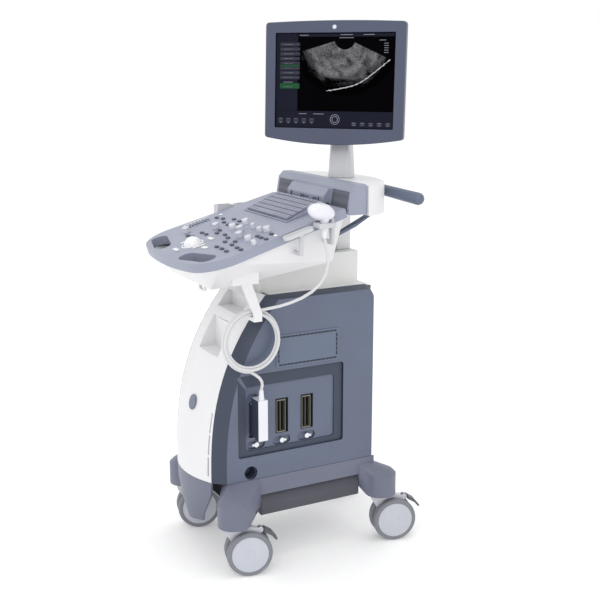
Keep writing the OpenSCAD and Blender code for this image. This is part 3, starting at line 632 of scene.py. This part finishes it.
@dataclass
class Cabinet:
    """Shell covers, the connector bay and the trim on them."""

    plate_middle: tuple[float, float] = (0.024, 0.594)
    plate_half: tuple[float, float] = (0.089, 0.038)
    plate_face: float = 0.15215
    dashes: tuple[int, int] = (15, 5)
    dash: Point = (0.0105, 0.0042, 0.0008)
    dash_round: float = 0.001
    port_places: tuple[float, float] = (-0.050, 0.027)
    port_height: float = 0.411
    shell_depth: float = 0.137
    shell_sides: tuple[float, float] = (-0.0165, 0.0085)
    shell_ends: tuple[float, float] = (0.3665, 0.4555)
    strip_depth: float = 0.1345

    def build(self) -> None:
        """Dress the covers and add their trim."""
        soft_copy("base_skirt", SKIRT, 0.006, 3, 40)
        soft_copy("foot_rails", RAIL, 0.002)
        soft_copy("front_cover", WHITE, 0.0012)
        side = soft_copy("side_cover_right", SLATE, 0.003, 3)
        # painted shade: the cover's faces turned towards -Y (its bevelled front edge) and its upward faces
        # above 0.6 m take the darker slate as shade
        repaint(side, SLATE_PAINTED_SHADE, lambda f: f.normal.y < -0.35 or (f.normal.z > 0.6 and f.center.z > 0.6))
        soft_copy("side_cover_left", SLATE, 0.003, 3)
        soft_copy("rear_cover", SLATE, 0.0012)
        soft_copy("neck_cover", NECK_WHITE, 0.006, 4)
        # painted shade: the bay's walls and the band round it take the darker slate; only outward faces set
        # back behind x 0.142 or above z 0.48 get plain slate
        panel = soft_copy("connector_panel", SLATE_PAINTED_SHADE, 0.001)
        repaint(panel, SLATE, lambda f: f.normal.x > 0.95 and (f.center.x < 0.142 or f.center.z > 0.48))
        plates = soft_copy("blank_plates", PLATE, 0.0007)
        repaint(plates, WHITE, lambda f: f.center.x < 0.1 and f.center.z > 0.55)
        for node, look in (
            ("vent_inserts", DARK), ("chassis_frame", STEEL), ("power_supply", STEEL), ("card_cage", STEEL),
            ("fan_rotor", BLACK), ("power_inlet", BLACK), ("mains_switch", BLACK), ("cover_screws", CHROME),
            ("port_sockets", KHAKI),
        ):
            dress(node, look)
        for i in (1, 2, 3):
            soft_copy(f"lock_lever_{i}", CHROME, 0.0008)
        self._name_plate()
        self._ports()

    def _name_plate(self) -> None:
        """Lay a dashed border of small slots round the blank name plate."""
        dashes = bmesh.new()
        mid_y, mid_z = self.plate_middle
        half_y, half_z = self.plate_half
        across, up = self.dashes
        long, wide, thick = self.dash
        spots = []
        for k in range(across):
            y = mid_y - half_y + (k + 0.5) * 2 * half_y / across
            spots += [(y, z, (long, wide, thick)) for z in (mid_z - half_z, mid_z + half_z)]
        for k in range(up):
            z = mid_z - half_z + (k + 1) * 2 * half_z / (up + 1)
            spots += [(y, z, (wide, long, thick)) for y in (mid_y - half_y, mid_y + half_y)]
        for y, z, size in spots:
            tile(dashes, Matrix.Translation((self.plate_face, y, z)) @ FLANK, size, self.dash_round)
        finish_piece("plate_slots", dashes, "cart", DARK)

    def _ports(self) -> None:
        """Frame each free connector with its metal shell and contact strip."""
        shells = bmesh.new()
        strips = bmesh.new()
        side, end, strip = (0.013, 0.0016, 0.092), (0.013, 0.024, 0.003), (0.009, 0.0035, 0.082)
        for y in self.port_places:
            for edge in self.shell_sides:
                tile(shells, Matrix.Translation((self.shell_depth, y + edge, self.port_height)), side)
            for z in self.shell_ends:
                tile(shells, Matrix.Translation((self.shell_depth, y - 0.004, z)), end)
            tile(strips, Matrix.Translation((self.strip_depth, y - 0.0045, self.port_height)), strip)
        finish_piece("connector_shells", shells, "cart", GILT, 0.0004)
        finish_piece("contact_strips", strips, "cart", KHAKI, 0.0004)


@dataclass
class Console:
    """Tray, deck, keyboard, speaker bar and every control on them."""

    knob_spots: tuple[Point, ...] = (
        (1, -88, 10), (1, -128, 10), (155, -156, 10), (118, -104, 8), (138, -92, 10), (66, -98, 7),
        (205, -165, 7),
    )
    ball_middle: Point = (0, -0.250, 0)
    ball_ring: tuple[tuple[float, float], ...] = (
        (0.0002, 0.0262), (0.0002, 0.0305), (0.0010, 0.0300), (0.0016, 0.0285), (0.0012, 0.0262),
    )
    pale_keys: tuple[tuple[float, float, float, float, float], ...] = (
        (-4, -297, 30, 11, 0), (16, -203, 30, 11, 0), (-43, -250, 7, 36, 10), (43, -250, 7, 36, -10),
        (74, -246, 24, 12, 10), (203, -102, 13, 9, 0), (-172, -84, 13, 9, 0),
    )
    function_keys: int = 13
    function_start: float = -104
    function_pitch: float = 17.3
    panel_slots: tuple[Point, ...] = (
        (-78, 9, 14), (-22, 3, 9), (-15, 3, 6), (-8, 3, 9), (2, 10, 3), (16, 10, 3), (56, 22, 4),
        (78, 5, 12),
    )

    def build(self) -> None:
        """Dress the console and add its fine controls."""
        soft_copy("console_tray", WHITE, 0.008, 4, 28)
        soft_copy("console_deck", CONSOLE, 0.0035, 3)
        soft_copy("keyboard_base", CONSOLE, 0.002)
        keys = soft_copy("keyboard_keys", KEYCAP, 0.0012)
        repaint(keys, DARK_KEY, lambda f: f.area > 0.004)
        soft_copy("deck_keys", DARK_KEY, 0.0014)
        soft_copy("gain_sliders", SILVER, 0.0008)
        soft_copy("speaker_bar", CONSOLE, 0.004, 3, 25)
        soft_copy("speakers", GRILLE, 0.0005)
        soft_copy("rear_housing", WHITE, 0.010, 4, 40)
        soft_copy("rear_handles", SLATE, 0.001, 1)
        soft_copy("probe_holders", HOLDER, 0.003, 3)
        soft_copy("cable_hangers", WHITE, 0.002, 2)
        dress("console_board", BOARD)
        dress("trackball", BALL)
        for i in (1, 2, 3, 4):
            soft_copy(f"knob_{i}", SILVER, 0.001)
        self._knobs()
        self._pointer_keys()
        self._rear_panel()

    def _knobs(self) -> None:
        """Add the small push knobs that have no joint of their own."""
        shape = bmesh.new()
        for u, s, r in self.knob_spots:
            stand = DECK @ Matrix.Translation((u * MM, s * MM, 0)) @ Matrix.Rotation(radians(-90), 4, "Y")
            r *= MM
            lathe(shape, stand, [
                (0.0002, 0), (0.0002, r + 0.001), (0.002, r + 0.001), (0.0024, r), (0.012, r * 0.96),
                (0.0136, r * 0.86), (0.014, r * 0.7), (0.0136, 0),
            ], 32)
        finish_piece("push_knobs", shape, "cart", SILVER)

    def _pointer_keys(self) -> None:
        """Add the ring and the pale keys round the trackball."""
        ring = bmesh.new()
        stand = DECK @ Matrix.Translation(self.ball_middle) @ Matrix.Rotation(radians(-90), 4, "Y")
        lathe(ring, stand, list(self.ball_ring), 64)
        finish_piece("ball_ring", ring, "cart", PALE_KEY)
        keys = bmesh.new()
        for u, s, w, d, turn in self.pale_keys:
            spot = Matrix.Translation((u * MM, s * MM, 0.0012)) @ Matrix.Rotation(radians(turn), 4, "Z")
            tile(keys, DECK @ spot, (w * MM, d * MM, 0.0022), 0.0035)
        finish_piece("pointer_keys", keys, "cart", PALE_KEY, 0.0006)

    def _rear_panel(self) -> None:
        """Add the row of small keys and the slots on the panel behind the keyboard."""
        keys = bmesh.new()
        slots = bmesh.new()
        for k in range(self.function_keys):
            x = (self.function_start + self.function_pitch * k) * MM
            tile(keys, KEYBOARD @ Matrix.Translation((x, 0.108, 0.0030)), (0.013, 0.007, 0.003), 0.001)
        face = Matrix.Translation((0, 0.0955, 0.983)) @ Matrix.Rotation(radians(90), 4, "X")
        for x, w, h in self.panel_slots:
            tile(slots, face @ Matrix.Translation((x * MM, 0, 0)), (w * MM, h * MM, 0.0012), 0.0012)
        finish_piece("function_keys", keys, "cart", KEYCAP, 0.0005)
        finish_piece("panel_slots", slots, "cart", DARK_KEY)


@dataclass
class ProbeHead:
    """The hand-held probe that rests in its holder."""

    head: Point = (0.2290, 0.018, 0.9715)
    half: Point = (0.0230, 0.0400, 0.0230)
    lean: float = -14.0
    neck: tuple[float, float] = (0.234, 0.026)

    def build(self) -> None:
        """Make the rounded head, its coloured rim and the neck that the holder takes."""
        low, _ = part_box("probe")
        shell = bmesh.new()
        place = Matrix.Translation(self.head) @ Matrix.Rotation(radians(self.lean), 4, "X")
        bmesh.ops.create_uvsphere(
            shell, u_segments=40, v_segments=24, radius=1.0, matrix=place @ Matrix.Diagonal((*self.half, 1.0))
        )
        stand = Matrix.Translation((*self.neck, 0)) @ Matrix.Rotation(radians(-90), 4, "Y")
        lathe(shell, stand, [
            (low.z, 0.0), (low.z, 0.0058), (low.z + 0.003, 0.0068), (0.925, 0.0088), (0.945, 0.0105),
            (0.956, 0.013), (0.964, 0.014), (0.967, 0.0),
        ], 40)
        body, slot = BODY_OF["probe"], SLOT_OF["probe"]
        finish_piece("probe_shell", shell, body, PROBE, sharp=50, replaces=("probe",))
        rim = bmesh.new()
        lathe(rim, place @ Matrix.Diagonal((1.0, self.half[1], self.half[2], 1.0)), [
            (-0.0016, 0.985), (-0.0016, 1.012), (0.0, 1.02), (0.0016, 1.012), (0.0016, 0.985),
        ], 64)
        finish_piece("probe_rim", rim, body, KEYCAP)


@dataclass
class Display:
    """Column, bezel and the picture on the screen."""

    glass: float = -0.00605
    width: float = 0.335
    height: float = 0.252
    bar_lift: float = 0.00025
    print_lift: float = 0.0005
    print_thick: float = 0.0003
    row_step: float = 0.0125
    left_step: float = 0.0225
    right_step: float = 0.0235
    fan_cells: tuple[int, int] = (36, 16)
    fan_spread: float = 140.0
    fan_turn: float = -4.0
    fan_near: float = 0.030
    fan_deep: float = 0.120
    echo_dashes: int = 26

    def build(self) -> None:
        """Dress the monitor and lay out its picture."""
        soft_copy("column_post", COLUMN_GREY, 0.0015, 2, 40)
        soft_copy("monitor_bezel", BEZEL, 0.004, 3, 40)
        soft_copy("monitor_back", BEZEL, 0.005, 3)
        dress("lcd_panel", GLASS)
        dress("monitor_board", BOARD)
        self._tiles("screen_bars", INK_NAVY, self._bars())
        self._tiles("screen_rows", INK_DIM, self._rows())
        self._tiles("screen_text", INK_GREY, self._text())
        self._tiles("screen_marks", INK_GREEN, ((0.041, 0.0845, 0.056, 0.012), (0.041, 0.140, 0.056, 0.014)))
        self._fan()
        self._lens()

    def _place(self, x: float, y: float, lift: float = 0.0) -> Matrix:
        """Frame of a point on the glass, measured from the picture's top left corner.

        Args:
            x: distance from the left edge.
            y: distance down from the top edge.
            lift: height above the glass.

        Returns:
            The frame of that point.
        """
        return SCREEN @ Matrix.Translation((x - self.width / 2, self.height / 2 - y, self.glass + lift))

    def _tiles(self, name: str, look: Finish, boxes: Iterable[Area]) -> None:
        """Lay thin printed areas on the glass.

        Args:
            name: the piece's name.
            look: its finish.
            boxes: centre x, centre y, width and height of each area.
        """
        shape = bmesh.new()
        for x, y, w, h in boxes:
            lift = self.bar_lift if look is INK_NAVY else self.print_lift
            tile(shape, self._place(x, y, lift), (w, h, self.print_thick))
        finish_piece(name, shape, "monitor", look)

    def _bars(self) -> list[Area]:
        """Side bar and bottom bar.

        Returns:
            Their centres and sizes.
        """
        return [(0.0325, 0.104, 0.062, 0.204), (0.1675, 0.2285, 0.332, 0.044), (0.2, 0.0065, 0.262, 0.008)]

    def _rows(self) -> list[Area]:
        """Rows of soft buttons in the side bar.

        Returns:
            Their centres and sizes.
        """
        rows = [(0.041, 0.030 + self.row_step * k, 0.056, 0.0085) for k in range(8)]
        rows += [(0.016 + self.left_step * k, 0.232, 0.014, 0.012) for k in range(5)]
        rows += [(0.226 + self.right_step * k, 0.240, 0.014, 0.009) for k in range(5)]
        return rows

    def _text(self) -> list[Area]:
        """Short dashes that stand for lines of small text.

        Returns:
            Their centres and sizes.
        """
        dashes = [(0.036, 0.030 + self.row_step * k, 0.026, 0.0012) for k in range(10)]
        dashes += [
            (0.080, 0.0062, 0.026, 0.0015), (0.20, 0.0055, 0.034, 0.0014), (0.262, 0.0055, 0.030, 0.0014),
            (0.20, 0.0135, 0.040, 0.0012), (0.30, 0.020, 0.018, 0.0012),
        ]
        dashes += [(0.310, 0.028 + 0.006 * k, 0.012, 0.0012) for k in range(5)]
        dashes += [(0.080, 0.214, 0.022, 0.0014), (0.125, 0.214, 0.030, 0.0014)]
        dashes += [(0.016 + self.left_step * k, 0.2275, 0.010, 0.0016) for k in range(5)]
        dashes += [(0.016 + self.left_step * k, 0.2375, 0.006, 0.0030) for k in range(5)]
        dashes += [(0.226 + self.right_step * k, 0.2365, 0.010, 0.0014) for k in range(5)]
        dashes += [(0.226 + self.right_step * k, 0.2425, 0.005, 0.0026) for k in range(5)]
        return dashes

    def _fan(self) -> None:
        """Make the fan-shaped echo picture, its bright surface line and the round emblem under it."""
        shape = bmesh.new()
        layer = shape.loops.layers.uv.new("fan")
        across, deep = self.fan_cells
        verts = bmesh.ops.create_grid(shape, x_segments=across, y_segments=deep, size=0.5)["verts"]
        for face in shape.faces:
            for loop in face.loops:
                loop[layer].uv = (loop.vert.co.x + 0.5, 0.5 - loop.vert.co.y)
        for v in verts:
            swing = radians(v.co.x * self.fan_spread + self.fan_turn)
            reach = self.fan_near + (0.5 - v.co.y) * self.fan_deep
            v.co = Vector((sin(swing) * reach, -cos(swing) * reach, 0.0))
        bmesh.ops.recalc_face_normals(shape, faces=shape.faces)
        if sum(f.normal.z for f in shape.faces) < 0:
            bmesh.ops.reverse_faces(shape, faces=shape.faces)
        bmesh.ops.transform(shape, matrix=self._place(0.196, 0.014, 0.0004), verts=shape.verts)
        finish_piece("echo_picture", shape, "monitor", SCAN)
        line = bmesh.new()
        for k in range(self.echo_dashes):
            t = k / (self.echo_dashes - 1)
            x = 0.150 + 0.168 * t
            y = 0.152 - 0.002 * sin(t * 9) - 0.078 * t ** 1.9
            tilt = -radians(4 + 44 * t) + radians(9 * sin(k * 2.1))
            size = 0.0012 + 0.0018 * abs(sin(k * 1.7))
            spot = self._place(x, y, 0.0008) @ Matrix.Rotation(-tilt, 4, "Z")
            tile(line, spot, (0.0085, size, self.print_thick), 0.0008)
        finish_piece("echo_surface", line, "monitor", INK_WHITE)
        emblem = bmesh.new()
        stand = self._place(0.172, 0.228, 0.0005) @ Matrix.Rotation(radians(-90), 4, "Y")
        for r in (0.0135, 0.0085):
            lathe(emblem, stand, [(0.0, r), (0.0, r - 0.0014), (0.0003, r - 0.0014), (0.0003, r)], 48)
        finish_piece("screen_emblem", emblem, "monitor", INK_GREY)

    def _lens(self) -> None:
        """Add the small round sensor above the screen."""
        dot = bmesh.new()
        stand = SCREEN @ Matrix.Translation((0, 0.1405, -0.0002)) @ Matrix.Rotation(radians(-90), 4, "Y")
        lathe(dot, stand, [(0.0, 0), (0.0, 0.0055), (0.0010, 0.0055), (0.0012, 0.0045), (0.0008, 0.0)], 32)
        finish_piece("bezel_sensor", dot, "monitor", SILVER)


@dataclass
class Casters:
    """Four swivel casters with twin wheels."""

    trail: float = 0.038
    radius: float = 0.0625
    turn: float = -15.0

    def build(self) -> None:
        """Make the tyres and discs, and dress the forks and pedals."""
        for i, (x, y) in enumerate(PIVOTS, 1):
            axle = (
                Matrix.Translation((x, y, 0))
                @ Matrix.Rotation(radians(self.turn), 4, "Z")
                @ Matrix.Translation((0, self.trail, self.radius))
            )
            self._wheels(i, axle)
            soft_copy(f"caster_fork_{i}", FORK, 0.002)
            soft_copy(f"brake_pedal_{i}", PEDAL, 0.0015)

    def _wheels(self, i: int, axle: Matrix) -> None:
        """Make one caster's pair of wheels.

        Args:
            i: the caster's number.
            axle: the frame of its axle, along X.
        """
        r = self.radius
        tyre = bmesh.new()
        disc = bmesh.new()
        for side in (1, -1):
            place = axle @ Matrix.Rotation(0 if side > 0 else pi, 4, "Z")
            lathe(tyre, place, [
                (0.0102, r - 0.012), (0.0102, r - 0.005), (0.0128, r - 0.0016), (0.0175, r - 0.0002),
                (0.0235, r - 0.0002), (0.0282, r - 0.0016), (0.0308, r - 0.005), (0.0309, r - 0.0115),
                (0.0298, r - 0.0128),
            ], 72)
            lathe(disc, place, [
                (0.0108, 0.0), (0.0108, r - 0.0122), (0.0296, r - 0.0122), (0.0304, r - 0.0132),
                (0.0305, r - 0.0165), (0.0299, r - 0.0175), (0.0305, r - 0.0190), (0.0308, 0.014),
                (0.0301, 0.0132), (0.0301, 0.0),
            ], 72)
        finish_piece(f"tyres_{i}", tyre, f"wheels_{i}", TYRE, replaces=(f"wheel_set_{i}",))
        finish_piece(f"discs_{i}", disc, f"wheels_{i}", DISC)


def main() -> None:
    """Build the studio, the lead and every sub-assembly."""
    logging.basicConfig(level=logging.INFO, format="%(name)s: %(message)s")
    Studio().build()
    ProbeLead().build()
    Cabinet().build()
    Console().build()
    ProbeHead().build()
    Display().build()
    Casters().build()


if __name__ == "__main__":
    main()
